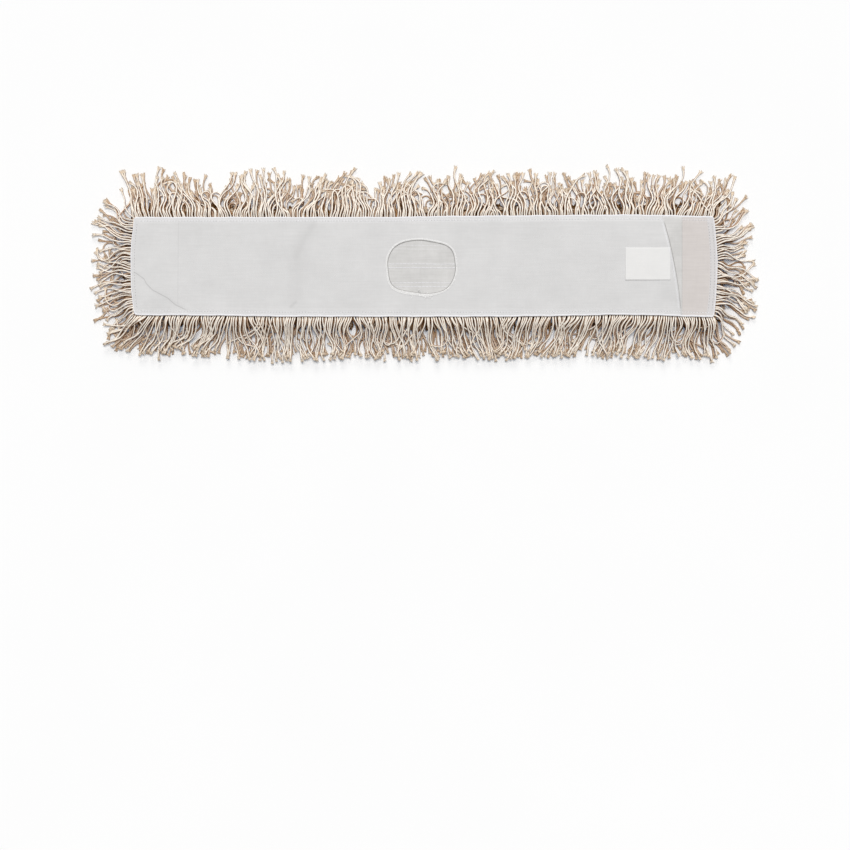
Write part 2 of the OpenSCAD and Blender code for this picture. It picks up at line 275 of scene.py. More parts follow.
def woven_cloth(name, pale, deep, thread_pitch, slub, blotch=0.5, lines=(), hem_highlights=(), end_band=None):
    """Plain-woven cotton: threads in relief with faint painted shade between them, slubs, mottle, painted
    shade along creases, painted highlight along each hem, and an end band.
    """
    material, tree, bsdf = new_material(name)
    place = add(tree, "ShaderNodeTexCoord").outputs["Object"]
    split = add(tree, "ShaderNodeSeparateXYZ", {0: place})
    x, y = split.outputs["X"], split.outputs["Y"]
    wave = 2 * math.pi / thread_pitch

    def sine(value, rate):
        return math_node(tree, "SINE", math_node(tree, "MULTIPLY", value, rate))

    crossing = math_node(tree, "MULTIPLY", sine(x, wave / 2), sine(y, wave / 2))
    over = math_node(tree, "GREATER_THAN", crossing, 0.0)
    weave = add(tree, "ShaderNodeMix", {0: over, 2: sine(x, wave), 3: sine(y, wave)}).outputs[0]
    along_x = vector_node(tree, "MULTIPLY", place, (0.05, 1.0, 1.0))
    along_y = vector_node(tree, "MULTIPLY", place, (1.0, 0.05, 1.0))
    upright = math_node(tree, "MULTIPLY_ADD", noise(tree, along_y, 700.0, 2.0), 0.4, 0.3)
    slubs = math_node(tree, "ADD", noise(tree, along_x, 420.0, 3.0), upright)
    mottle = noise(tree, place, 26.0, 7.0, 0.68)
    # The weave's crevices are painted a little darker (painted shade); slubs and mottle are the cloth's own
    # tone
    shade = math_node(tree, "MULTIPLY_ADD", weave, 0.07, 0.5)
    shade = math_node(tree, "MULTIPLY_ADD", math_node(tree, "SUBTRACT", slubs, 1.0), slub, shade)
    shade = math_node(tree, "MULTIPLY_ADD", math_node(tree, "SUBTRACT", mottle, 0.5), blotch, shade)
    colour = ramp(tree, shade, [(0.2, deep), (0.8, pale)])
    # Painted shade along creases and folds, and painted highlight along the mouth hem
    for points, width, share, line_colour in lines:
        mask = math_node(tree, "MULTIPLY", line_mask(tree, place, points, width), share)
        colour = mixed(tree, mask, colour, line_colour)
    # Painted highlight in bands along the back and front hem
    for inner, outer, gain in hem_highlights:
        colour = mixed(tree, mapped(tree, y, inner, outer, 0.0, gain), colour, PAINTED_HIGHLIGHT)
    if end_band:
        inner, band_colour = end_band
        y_squared = math_node(tree, "MULTIPLY", y, y)
        straight = math_node(tree, "MULTIPLY_ADD", y_squared, END_BOW / half_w ** 2, x)
        band = mapped(tree, straight, inner - BAND_BLUR, inner + BAND_BLUR)
        colour = mixed(tree, band, colour, band_colour)
    relief = math_node(tree, "MULTIPLY_ADD", slubs, 0.5, weave)
    surface(tree, bsdf, colour, relief, 0.35, 0.12 * MM, 0.92, 0.15)
    return material


def spun_thread(name, pale, deep):
    """Sewing thread with fine fibres and a little sheen."""
    material, tree, bsdf = new_material(name)
    place = add(tree, "ShaderNodeTexCoord").outputs["Object"]
    fibres = noise(tree, place, 2200.0, 3.0, 0.6)
    surface(tree, bsdf, ramp(tree, fibres, [(0.3, deep), (0.65, pale)]), fibres, 0.3, 0.1 * MM, 0.7, 0.25)
    return material


def millimetres(*points):
    return [(x * MM, y * MM) for x, y in points]


# Points of the creases and the fold, also shaped into the cloth, and of the left facing's edge and a pucker,
# along which shade is painted
CORNER_CREASE = millimetres((-461.5, -10.8), (-447.5, -20.8), (-443.5, -28.8), (-433.6, -38.7),
                            (-409.6, -51.5), (-397.7, -61.9), (-381.7, -69.6))
MIDDLE_FOLD = millimetres((-176, 66), (-194, 40), (-204, 14), (-203, -30), (-207, -58))
PUCKER_SHADE = millimetres((-205, -58), (-213, -65))
FACING_EDGE_SHADE = [(LEFT_FACING_X, 69 * MM), (LEFT_FACING_X - 1 * MM, -62 * MM)]
# Points along the mouth hem, where a highlight is painted
MOUTH_HEM_HIGHLIGHT = [(mouth_x(y * MM) - 2.6 * MM, y * MM) for y in (66, 45, 25, 5, -15, -35, -66)]
# Lines of painted shade along the creases, the fold, the left facing's edge and the pucker, and of painted
# highlight along the mouth hem: points, width, strength and colour
LINE_SHADE_AND_HIGHLIGHT = ((CORNER_CREASE, 1.2 * MM, 0.25, SHADE), (FACING_EDGE_SHADE, 1.0 * MM, 0.09, SHADE),
           (MIDDLE_FOLD[:3], 9 * MM, 0.055, SHADE), (MIDDLE_FOLD, 24 * MM, 0.055, SHADE),
           (PUCKER_SHADE, 4 * MM, 0.09, SHADE), (MOUTH_HEM_HIGHLIGHT, 3.4 * MM, 0.16, PAINTED_HIGHLIGHT))
# Painted highlight along the back and front hem: inner and outer y, and strength
HEM_HIGHLIGHTS = ((70 * MM, 72 * MM, 0.09), (-67 * MM, -69 * MM, 0.09))
END_BAND_W = 12.5 * MM

YARN_STRIPS = 64
DEPTHS = 4
YARN_WRAP = (0.05, 0.95)
# Where a strand's top lies round its map; the painted shade on its flanks grows away from it
YARN_TOP = 0.725
YARN_MAP = "OFBake"


def plied_yarn(name, pale, mid, deep, tip, shadow, under):
    """Loosely plied cotton yarn with painted shade: its flanks are painted dark brown, and deeper strands
    are painted darker.

    Its map has a strip for each of many strands, by depth: round the strand across, root to tip along.
    """
    material, tree, bsdf = new_material(name)
    place = add(tree, "ShaderNodeUVMap", uv_map=YARN_MAP).outputs["UV"]
    split = add(tree, "ShaderNodeSeparateXYZ", {0: place})
    across = math_node(tree, "MULTIPLY", split.outputs["X"], float(YARN_STRIPS))
    along = split.outputs["Y"]
    strip = math_node(tree, "FLOOR", across)
    own = add(tree, "ShaderNodeTexWhiteNoise", {"W": strip}, noise_dimensions="1D").outputs["Value"]
    turns = math_node(tree, "MULTIPLY_ADD", along, 9.0, math_node(tree, "MULTIPLY", across, 4.0))
    plies = math_node(tree, "SINE", math_node(tree, "MULTIPLY", turns, 2 * math.pi))
    grain = {0: math_node(tree, "MULTIPLY", across, 6.0), 1: math_node(tree, "MULTIPLY", along, 40.0)}
    fibres = noise(tree, add(tree, "ShaderNodeCombineXYZ", grain).outputs[0], 1.0, 4.0, 0.65)
    # The ply twist paints its grooves a little darker (painted shade); each strand's own tone and its fibres
    # vary at random
    shade = math_node(tree, "MULTIPLY_ADD", plies, 0.10, 0.54)
    shade = math_node(tree, "MULTIPLY_ADD", own, 0.32, shade)
    shade = math_node(tree, "MULTIPLY_ADD", math_node(tree, "SUBTRACT", fibres, 0.5), 0.5, shade)
    colour = ramp(tree, shade, [(0.05, deep), (0.38, mid), (0.72, pale)])

    # Painted shade on the strand's flanks: away from its top round the map they take the deep colour, while
    # the underside stays pale. under sets how far the painted shade reaches
    around = math_node(tree, "SUBTRACT", math_node(tree, "FRACT", across), YARN_TOP)
    turn = math_node(tree, "MULTIPLY", around, 2 * math.pi / (YARN_WRAP[1] - YARN_WRAP[0]))
    facing_up = math_node(tree, "COSINE", turn)
    upper = clamped(tree, math_node(tree, "MULTIPLY_ADD", facing_up, 4.0, 1.6))
    flank_shade = clamped(tree, math_node(tree, "MULTIPLY_ADD", facing_up, -4.0, under))
    colour = mixed(tree, math_node(tree, "MULTIPLY", flank_shade, upper), colour, deep)

    # Painted shade of deeper layers: their strands are painted towards the shadow colour, most near the
    # root, and the deepest short filler is painted darker still
    depth = math_node(tree, "FLOOR", math_node(tree, "DIVIDE", strip, YARN_STRIPS / DEPTHS))
    deepest = math_node(tree, "GREATER_THAN", depth, DEPTHS - 1.5)
    inward = math_node(tree, "MAXIMUM", mapped(tree, along, 0.15, 0.9, 1.0, 0.7), deepest)
    dim = math_node(tree, "MINIMUM", math_node(tree, "MULTIPLY", depth, 0.66), 0.92)
    dim = math_node(tree, "MULTIPLY", math_node(tree, "MULTIPLY", inward, dim), upper)
    colour = mixed(tree, dim, colour, shadow)
    dark = math_node(tree, "MULTIPLY", math_node(tree, "MULTIPLY", deepest, 0.85), upper)
    colour = mixed(tree, dark, colour, [0.35 * c for c in shadow])

    # Tan towards the cut ends, except on the deepest filler
    tip_tan = mapped(tree, along, 0.78, 0.97, 0.0, 0.55)
    tip_tan = math_node(tree, "MULTIPLY", tip_tan, math_node(tree, "SUBTRACT", 1.0, deepest))
    colour = mixed(tree, tip_tan, colour, tip)
    relief = math_node(tree, "MULTIPLY_ADD", fibres, 0.6, plies)
    surface(tree, bsdf, colour, relief, 0.55, 0.4 * MM, 1.0, 0.0)
    return material


white_cloth = woven_cloth("white_cloth", (0.752, 0.750, 0.757), (0.615, 0.614, 0.620), 0.8 * MM, 0.30, 0.6,
                          LINE_SHADE_AND_HIGHLIGHT, HEM_HIGHLIGHTS)
natural_cloth = woven_cloth("natural_cloth", (0.720, 0.681, 0.668), (0.580, 0.544, 0.531), 0.9 * MM, 0.42,
                            end_band=(half_len - END_BAND_W, (0.675, 0.660, 0.668)))
base_weave = woven_cloth("base_weave", (0.739, 0.732, 0.729), (0.556, 0.551, 0.546), 0.9 * MM, 0.42, 0.9)
label_weave = woven_cloth("label_weave", (0.862, 0.860, 0.862), (0.765, 0.763, 0.765), 0.5 * MM, 0.2)
white_thread = spun_thread("white_thread", (0.89, 0.89, 0.93), (0.74, 0.74, 0.78))
end_thread = spun_thread("end_thread", (0.76, 0.75, 0.77), (0.62, 0.615, 0.63))
rim_thread = spun_thread("rim_thread", (0.93, 0.925, 0.925), (0.81, 0.81, 0.81))
# A dark grey thread that paints shade: at the needle punctures, and in the gaps under the mouth edge and the
# oval's rim
shade_thread = spun_thread("shade_thread", (0.46, 0.45, 0.445), (0.29, 0.285, 0.28))
# Colours: pale, mid and deep tones, the tips' tan, the painted shadow of deeper strands, and how far the
# painted shade on the flanks reaches
fringe_yarn = plied_yarn("fringe_yarn", (0.985, 0.935, 0.852), (0.955, 0.835, 0.685), (0.31, 0.098, 0.012),
                         (0.72, 0.54, 0.36), (0.35, 0.165, 0.045), 2.72)
pile_yarn = plied_yarn("pile_yarn", (0.90, 0.82, 0.71), (0.76, 0.65, 0.53), (0.42, 0.28, 0.18),
                       (0.70, 0.58, 0.45), (0.36, 0.195, 0.085), -1.0)


# Mesh building

EDGE_X = (-470, -380, -300, -240, -40, 20, 140, 230, 290, 340, 390, 430, 470)
BACK_EDGE = (-1.6, -1.6, -1.6, -1.6, -1.5, 0.0, 0.9, 1.7, 2.3, 2.4, 1.5, 0.6, -0.8)
FRONT_EDGE = (1.0, 0.8, 0.0, -1.2, -1.4, -1.4, -1.2, 0.0, 1.6, 1.6, 0.2, -1.4, -2.6)


def as_sewn(points):
    """The long edges run a little unevenly, by offsets in mm at places along them."""
    x, y = points[:, 0] / MM, np.clip(points[:, 1] / half_w, -1, 1)
    back, front = np.interp(x, EDGE_X, BACK_EDGE), np.interp(x, EDGE_X, FRONT_EDGE)
    shift = np.where(y > 0, back, front) * y * y * MM
    return points + np.stack([0 * x, shift, 0 * x], 1)


def add_piece(name, points, faces, material, uvs=None):
    """A smooth-shaded mesh piece from arrays of faces, each array with its own number of corners."""
    mesh = bpy.data.meshes.new(name)
    points = as_sewn(points)
    corners = np.concatenate([f.ravel() for f in faces]).astype(np.int32)
    sizes = np.concatenate([np.full(len(f), f.shape[1]) for f in faces])
    mesh.vertices.add(len(points))
    mesh.vertices.foreach_set("co", np.ascontiguousarray(points, np.float32).ravel())
    mesh.loops.add(len(corners))
    mesh.loops.foreach_set("vertex_index", corners)
    mesh.polygons.add(len(sizes))
    mesh.polygons.foreach_set("loop_start", (np.cumsum(sizes) - sizes).astype(np.int32))
    mesh.polygons.foreach_set("use_smooth", np.ones(len(sizes), bool))
    if uvs is not None:
        layer = mesh.uv_layers.new(name=YARN_MAP)
        flat = np.concatenate([uv.reshape(-1, 2) for uv in uvs]).astype(np.float32)
        layer.data.foreach_set("uv", flat.ravel())
    mesh.update(calc_edges=True)
    mesh.validate()
    mesh.materials.append(material)
    piece = bpy.data.objects.new(name, mesh)
    bpy.context.scene.collection.objects.link(piece)
    return piece


def sheet_faces(points, quads, thickness):
    """Gives a one-sided sheet an under side and a rim."""
    count = len(points)
    under = points - np.array([0, 0, thickness])
    edges = np.concatenate([quads[:, [k, (k + 1) % 4]] for k in range(4)])
    keys = np.sort(edges, axis=1) @ np.array([count, 1])
    _, first, uses = np.unique(keys, return_index=True, return_counts=True)
    rim = edges[first[uses == 1]]
    walls = np.stack([rim[:, 1], rim[:, 0], rim[:, 0] + count, rim[:, 1] + count], 1)
    return np.concatenate([points, under]), [quads, quads[:, ::-1] + count, walls]


def grid_quads(rows, columns):
    i = np.arange(rows * columns).reshape(rows, columns)
    return np.stack([i[:-1, :-1], i[:-1, 1:], i[1:, 1:], i[1:, :-1]], -1).reshape(-1, 4)


def sheet_piece(name, x, y, z, thickness, material):
    """A cloth piece over a grid of points."""
    points = np.stack([x, y, z], -1).reshape(-1, 3)
    return add_piece(name, *sheet_faces(points, grid_quads(*x.shape), thickness), material)


def trimmed(points, quads):
    """Drops points that no face uses."""
    used, index = np.unique(quads, return_inverse=True)
    return points[used], index.reshape(quads.shape)


def frames(paths):
    """Tangents and two cross directions along each path, carried on without twisting."""
    tangent = np.gradient(paths, axis=1)
    tangent /= np.linalg.norm(tangent, axis=2, keepdims=True) + 1e-12
    side = np.zeros_like(paths)
    start = np.cross(tangent[:, 0], np.array([0.02, 0.03, 1.0]))
    short = np.linalg.norm(start, axis=1) < 0.2
    start[short] = np.cross(tangent[short, 0], np.array([1.0, 0.1, 0.0]))
    side[:, 0] = start / np.linalg.norm(start, axis=1, keepdims=True)
    for k in range(1, paths.shape[1]):
        s = side[:, k - 1] - (side[:, k - 1] * tangent[:, k]).sum(1, keepdims=True) * tangent[:, k]
        side[:, k] = s / np.linalg.norm(s, axis=1, keepdims=True)
    return tangent, side, np.cross(tangent, side)


def tubes(paths, radii, sides, strips=None, along=(0.0, 1.0), wrap=YARN_WRAP):
    """Round closed tubes along paths (count, steps, 3), with a map strip each where strips are given."""
    count, steps = paths.shape[:2]
    _, side, up = frames(paths)
    angle = np.arange(sides) * 2 * math.pi / sides
    ring = side[:, :, None] * np.cos(angle)[:, None] + up[:, :, None] * np.sin(angle)[:, None]
    points = (paths[:, :, None] + ring * radii[:, :, None, None]).reshape(-1, 3)
    i = np.arange(count * steps * sides).reshape(count, steps, sides)
    j = np.roll(i, -1, 2)
    walls = np.stack([i[:, :-1], j[:, :-1], j[:, 1:], i[:, 1:]], -1).reshape(-1, 4)
    caps = np.concatenate([i[:, 0, ::-1], i[:, -1]])
    if strips is None:
        return points, [walls, caps], []
    u = np.linspace(*wrap, sides + 1)[None, None] + strips[:, None, None]
    v = np.linspace(*along, steps)
    u = np.broadcast_to(u / YARN_STRIPS, (count, steps - 1, sides + 1))
    v = np.broadcast_to(v[None, :, None], (count, steps, sides + 1))
    low_v, high_v = v[:, :-1], v[:, 1:]
    wall_uv = np.stack([
        np.stack([u[..., :-1], low_v[..., :-1]], -1), np.stack([u[..., 1:], low_v[..., 1:]], -1),
        np.stack([u[..., 1:], high_v[..., 1:]], -1), np.stack([u[..., :-1], high_v[..., :-1]], -1)], -2)
    spot = np.stack([0.5 + 0.3 * np.cos(angle), 0.5 + 0.3 * np.sin(angle)], -1) * (1.0, 0.02)
    cap_uv = spot[None] + np.stack([strips, np.zeros(count)], -1)[:, None]
    cap_uv = np.concatenate([cap_uv + (0, along[0]), cap_uv + (0, along[1] - 0.02)]) / (YARN_STRIPS, 1)
    return points, [walls, caps], [wall_uv.reshape(-1, 4, 2), cap_uv]


def finish_piece(piece, slot, *nodes):
    if nodes:
        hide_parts(*nodes)


def backing_piece(piece, slot, *nodes):
    """A piece that stays with the backing."""
    finish_piece(piece, slot, *nodes)
    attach(piece, "backing")


# Cloth heights

HEM_FALL = {"back": 1.0 * MM, "front": 0.15 * MM, "end": 0.5 * MM}
cloth_z = plate_top - 1.5 * MM
panel_z = cloth_z - 1.3 * MM
OPENING_GAP = CLOTH_T + 0.45 * MM
EDGE_RAISE = 2.4 * MM


def folds(x, y, seed, height, lengths):
    """Soft unevenness of cloth that lies slack."""
    rng = np.random.default_rng(seed)
    z = np.zeros_like(x)
    for length in lengths:
        a, p = rng.uniform(0, 2 * math.pi, 2)
        bend = 0.6 * np.sin(2 * math.pi * (x * math.sin(a) - y * math.cos(a)) / (1.7 * length) + 2 * p)
        z += np.sin(2 * math.pi * (x * math.cos(a) + y * math.sin(a)) / length + p + bend)
    return z * height / math.sqrt(len(lengths))


def crease(x, y, points, width, height):
    """A soft ridge beside a valley along a line of points."""
    best = np.full(x.shape, 1e9)
    signed = np.zeros_like(x)
    for (ax, ay), (bx, by) in zip(points[:-1], points[1:]):
        dx, dy = bx - ax, by - ay
        length = math.hypot(dx, dy)
        t = np.clip(((x - ax) * dx + (y - ay) * dy) / length ** 2, 0, 1)
        px, py = x - ax - t * dx, y - ay - t * dy
        d = np.hypot(px, py)
        near = d < best
        best = np.where(near, d, best)
        signed = np.where(near, d * np.sign(dx * py - dy * px), signed)
    fade = np.exp(-(signed / (2.2 * width)) ** 2)
    return height * fade * np.sin(np.clip(signed / width, -3, 3))


def seam_depth(x, y, ends):
    """Distance in from the sewn edges: both sides and the ends named by their signs."""
    depth = half_w - np.abs(y)
    for sign in ends:
        depth = np.minimum(depth, end_x(y) - sign * x)
    return np.maximum(depth, 0)


def sewn_edge(x, y, ends, middle):
    """A cloth that is nearly flat, sinks a little towards its sewn edges and dips along the seam."""
    side = half_w - np.abs(y)
    d = seam_depth(x, y, ends)
    fall = np.where(y > 0, HEM_FALL["back"], HEM_FALL["front"])
    fall = np.where(d < side - 1e-6, HEM_FALL["end"], fall)
    z = middle - 1.0 * MM * (1 - smooth(d / (62 * MM))) - fall * (1 - smooth(d / (11 * MM)))
    run = x + y
    pucker = np.exp(-((d - 0.75 * SEAM_INSET) / (3.5 * MM)) ** 2)
    wave = np.sin(2 * math.pi * run / (7.3 * MM)) + np.sin(2 * math.pi * run / (11.9 * MM))
    seam = np.exp(-((d - STITCH_INSET) / (1.3 * MM)) ** 2)
    return z + 0.10 * MM * pucker * wave - 0.22 * MM * seam, d


def pocket_height(x, y):
    z, d = sewn_edge(x, y, (-1,), cloth_z)
    slack = smooth((d - SEAM_INSET) / (25 * MM))
    z += slack * folds(x, y, 5, 0.28 * MM, (0.31, 0.21, 0.13, 0.09, 0.17))
    z += crease(x, y, CORNER_CREASE, 3.2 * MM, 0.4 * MM) * smooth(d / (6 * MM))
    z += crease(x, y, MIDDLE_FOLD, 9 * MM, 0.5 * MM) * smooth(d / (14 * MM))
    z += 0.25 * MM * smooth((LEFT_FACING_X - x) / (2.2 * MM) + 0.5) * slack
    hem = mouth_x(y) - x
    z += 1.9 * MM * smooth(1 - hem / (45 * MM)) * smooth((half_w - 1.5 * SEAM_INSET - np.abs(y)) / (28 * MM))
    z += 0.35 * MM * smooth((HEM_W + 0.6 * MM - hem) / (1.6 * MM)) * smooth((d - SEAM_INSET) / (4 * MM))
    return z - 0.2 * MM * np.exp(-((hem - 0.55 * HEM_W) / (1.0 * MM)) ** 2)


def panel_height(x, y):
    z, d = sewn_edge(x, y, (1,), panel_z)
    z += 0.6 * MM * (1 - smooth(d / (14 * MM)))
    return z + smooth((d - SEAM_INSET) / (25 * MM)) * folds(x, y, 9, 0.15 * MM, (0.12, 0.07, 0.05))


def base_height(x, y):
    """The base cloth, pushed up by the pile, most under the opening, and drawn down along the threads."""
    z = base_top + EDGE_RAISE + 1.2 * MM * smooth(seam_depth(x, y, (-1, 1)) / (45 * MM))
    from_opening = np.hypot((x - opening_x) / opening_a, (y - opening_y) / opening_b) - 1
    under = 1 - smooth((from_opening - 0.1) / 0.7)
    z = z + (pocket_height(x, y) - OPENING_GAP - z) * under
    for line in row_lines:
        for thread in (-1, 1):
            off = (y - line - thread * row_thread_off) / (2.2 * MM)
            z = z - 0.12 * MM * np.exp(-off ** 2)
    return z + folds(x, y, 3, 0.12 * MM, (0.05, 0.031, 0.022, 0.016))


def on_cloth(x, y):
    """Height of the cloth that shows at a place of the seam."""
    return np.where(x < mouth_x(y), pocket_height(x, y), panel_height(x, y))


def on_pocket(xy, height):
    """Points in plan, brought to a height above the pocket cloth."""
    z = pocket_height(xy[..., 0], xy[..., 1]) + height
    return np.concatenate([xy, z[..., None]], -1)


# Cloth pieces

EDGE_TUCK = 1.2 * MM
EDGE_CROWDING = 0.9


def left_end(y):
    return EDGE_TUCK - end_x(y)


def right_end(y):
    return end_x(y) - EDGE_TUCK


def strip_grid(left, right, height, columns, rows=66):
    """A sheet between two edges given as functions of y, at a height."""
    turn = np.linspace(-1, 1, rows) * math.pi / 2 * EDGE_CROWDING
    y = (half_w - EDGE_TUCK) * np.sin(turn) / math.sin(math.pi / 2 * EDGE_CROWDING)
    t = np.linspace(0, 1, columns)
    a, b = left(y)[:, None], right(y)[:, None]
    x = a + (b - a) * t
    y = np.broadcast_to(y[:, None], x.shape)
    return x, y, height(x, y)


def cut_opening(points, quads):
    """Cuts the oval out of a sheet and brings the cut edge onto it."""
    middle = np.array([opening_x, opening_y])
    away = points[:, :2] - middle
    angle = np.arctan2(away[:, 1] / opening_b, away[:, 0] / opening_a)
    edge = opening_edge(angle) - middle
    share = np.linalg.norm(away, axis=1) / np.linalg.norm(edge, axis=1)
    quads = quads[(share[quads] > 1).any(1)]
    inside = share < 1
    points[inside, :2] = edge[inside] + middle
    return trimmed(points, quads)


LIFT_FADE = 34 * MM
LIFT_START = (flap_x - 4 * MM, 0, plate_top)
LIFT_END = (flap_x + LIFT_FADE, 0, plate_top)


def hold_sewn_sides(piece):
    """The pocket cloth lifts only between its sewn sides, so its share of the lift fades towards them."""
    lift = piece.data.attributes["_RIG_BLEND"]
    share = np.zeros(len(piece.data.vertices), np.float32)
    lift.data.foreach_get("value", share)
    y = np.array([v.co.y for v in piece.data.vertices])
    free = smooth((half_w - SEAM_INSET - np.abs(y)) / LIFT_FADE)
    lift.data.foreach_set("value", (share * free).astype(np.float32))


def lifts_at_mouth(piece):
    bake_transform(piece, "backing", "mouth_flap", start=LIFT_START, end=LIFT_END)
    hold_sewn_sides(piece)


def make_pocket():
    x, y, z = strip_grid(left_end, mouth_x, pocket_height, 340)
    points, quads = cut_opening(np.stack([x, y, z], -1).reshape(-1, 3), grid_quads(*x.shape))
    points[:, 2] = pocket_height(points[:, 0], points[:, 1])
    piece = add_piece("pocket_sheet", *sheet_faces(points, quads, CLOTH_T), white_cloth)
    finish_piece(piece, "white_cloth", "pocket_cloth", "mouth_flap", "mouth_hem")
    lifts_at_mouth(piece)


def make_base():
    grid = strip_grid(left_end, right_end, base_height, 330, 90)
    piece = sheet_piece("base_sheet", *grid, CLOTH_T, base_weave)
    backing_piece(piece, "natural_cloth", "base_cloth")


def make_end_panel():
    grid = strip_grid(lambda y: np.full_like(y, panel_edge_x), right_end, panel_height, 70)
    piece = sheet_piece("end_panel_sheet", *grid, CLOTH_T, natural_cloth)
    backing_piece(piece, "natural_cloth", "end_panel")


def make_facings():
    """The white strip along the end panel's free edge, and the strip inside the left end."""
    half = half_w - 1.6 * BINDING_R
    x, y = np.meshgrid(np.linspace(panel_edge_x, facing_edge_x, 34), np.linspace(-half, half, 60))
    z = panel_height(x, y) + 0.3 * MM + 0.12 * MM * smooth((facing_edge_x - x) / (2 * MM))
    piece = sheet_piece("end_facing_sheet", x, y, z, FACING_T, base_weave)
    backing_piece(piece, "white_cloth", "end_panel_facing")

    lo, hi = low("left_end_facing"), high("left_end_facing")
    x, y = np.meshgrid(np.linspace(lo[0], hi[0], 24), np.linspace(lo[1], hi[1], 50))
    z = pocket_height(x, y) - CLOTH_T - 0.25 * MM
    piece = sheet_piece("left_facing_sheet", x, y, z, FACING_T, white_cloth)
    backing_piece(piece, "white_cloth", "left_end_facing")


def make_binding():
    """A soft folded tape round the edge, slightly crowned and drawn in at each stitch."""
    points, normals = outline(BINDING_R, 2.2 * MM)
    n, sides = len(points), 12
    angle = np.arange(sides) * 2 * math.pi / sides
    c, s = np.cos(angle), np.sin(angle)
    out = BINDING_R * np.sign(c) * np.abs(c) ** 0.6
    top = on_cloth(points[:, 0], points[:, 1]) + 0.35 * MM
    t = np.arange(n)
    top = top + 0.18 * MM * np.sin(2 * math.pi * t / 2.63) + 0.12 * MM * np.sin(2 * math.pi * t / 7.1)
    shift = 0.25 * MM * np.sin(2 * math.pi * t / 31.7) + 0.15 * MM * np.sin(2 * math.pi * t / 12.3)
    narrow = 1 - 0.38 * normals[:, :1] ** 2
    xy = points[:, None] + normals[:, None] * ((out[None] * narrow)[..., None] + shift[:, None, None])
    up = (1 + np.sign(s) * np.abs(s) ** 0.7) / 2
    under = edge_z0 + EDGE_RAISE
    z = under + (top - under)[:, None] * up[None]
    verts = np.concatenate([xy, z[..., None]], -1).reshape(-1, 3)
    i = np.arange(n * sides).reshape(n, sides)
    j, k = np.roll(i, -1, 0), np.roll(i, -1, 1)
    quads = np.stack([i, k, np.roll(k, -1, 0), j], -1).reshape(-1, 4)
    piece = add_piece("binding_tape", verts, [quads], white_thread)
    backing_piece(piece, "thread", "edge_binding")


# Stitching

STITCH_PITCH = 4.6 * MM
STITCH_LEN = 3.5 * MM
THREAD_R = 0.42 * MM


def stitch_points(line, lift=0.3 * MM, length=STITCH_LEN, pitch=STITCH_PITCH, start=0.5):
    """Small arched stitches along a line of 3-D points."""
    along = np.concatenate([[0], np.cumsum(np.linalg.norm(np.diff(line, axis=0), axis=1))])
    middle = np.arange(pitch * start, along[-1], pitch)
    t = np.linspace(-0.5, 0.5, 6)
    spots = middle[:, None] + t[None] * length
    paths = np.stack([np.interp(spots, along, line[:, k]) for k in range(3)], -1)
    paths[..., 2] += lift * (1 - (2 * t) ** 4) - 0.25 * MM
    return paths


def needle_hole_shade(line):
    """Short dark threads between the stitches: painted shade where the thread goes down into the cloth."""
    return stitch_points(line, 0.28 * MM, 1.3 * MM, STITCH_PITCH, 1.0)


def even_tubes(paths, radius, sides):
    return tubes(paths, np.full(paths.shape[:2], radius), sides)


def thread_piece(name, paths, material, body, *nodes, radius=THREAD_R, sides=5):
    points, faces, _ = even_tubes(paths, radius, sides)
    piece = add_piece(name, points, faces, material)
    finish_piece(piece, "thread", *nodes)
    if body:
        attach(piece, body)
    return piece


def make_seams():
    inset = STITCH_INSET
    lines = {}
    for name, side in (("front", -1), ("back", 1)):
        x = np.linspace(-half_len + 2 * inset, half_len - 2 * inset, 500)
        y = np.full_like(x, side * (half_w - inset))
        lines[name] = [np.stack([x, y, on_cloth(x, y)], 1)]
    for name, side in (("left", -1), ("right", 1)):
        y = np.linspace(-half_w + 1.4 * inset, half_w - 1.4 * inset, 120)
        lines[name] = []
        for row_inset in (inset,) if side < 0 else (1.6 * inset, 0.75 * inset):
            x = side * (end_x(y) - row_inset)
            lines[name].append(np.stack([x, y, on_cloth(x, y)], 1))
    for name, rows in lines.items():
        at_end = name in ("left", "right")
        thread, hole_shade_r = (end_thread, 0.45 * MM) if at_end else (white_thread, 0.28 * MM)
        paths = np.concatenate([stitch_points(row) for row in rows])
        thread_piece(f"seam_{name}", paths, thread, "backing", f"seam_stitching_{name}")
        # Painted shade at the needle punctures between the stitches
        hole_shades = np.concatenate([needle_hole_shade(row) for row in rows])
        thread_piece(f"needle_hole_shade_{name}", hole_shades, shade_thread, "backing", radius=hole_shade_r)


def make_row_lines():
    for i, line in enumerate(row_lines, 1):
        lo, hi = low(f"row_stitching_{i}")[0], high(f"row_stitching_{i}")[0]
        rows = []
        for side in (-1, 1):
            x = np.linspace(lo, hi, 400)
            y = line + side * row_thread_off + 0.25 * MM * np.sin(x / (17 * MM) + i)
            rows.append(stitch_points(np.stack([x, y, base_height(x, y)], 1), 0.15 * MM, 5.6 * MM, 6 * MM))
        radius = (0.6 if line < 10 * MM else 0.36) * MM
        thread_piece(f"row_thread_{i}", np.concatenate(rows), white_thread, "backing", f"row_stitching_{i}",
                     radius=radius, sides=4)


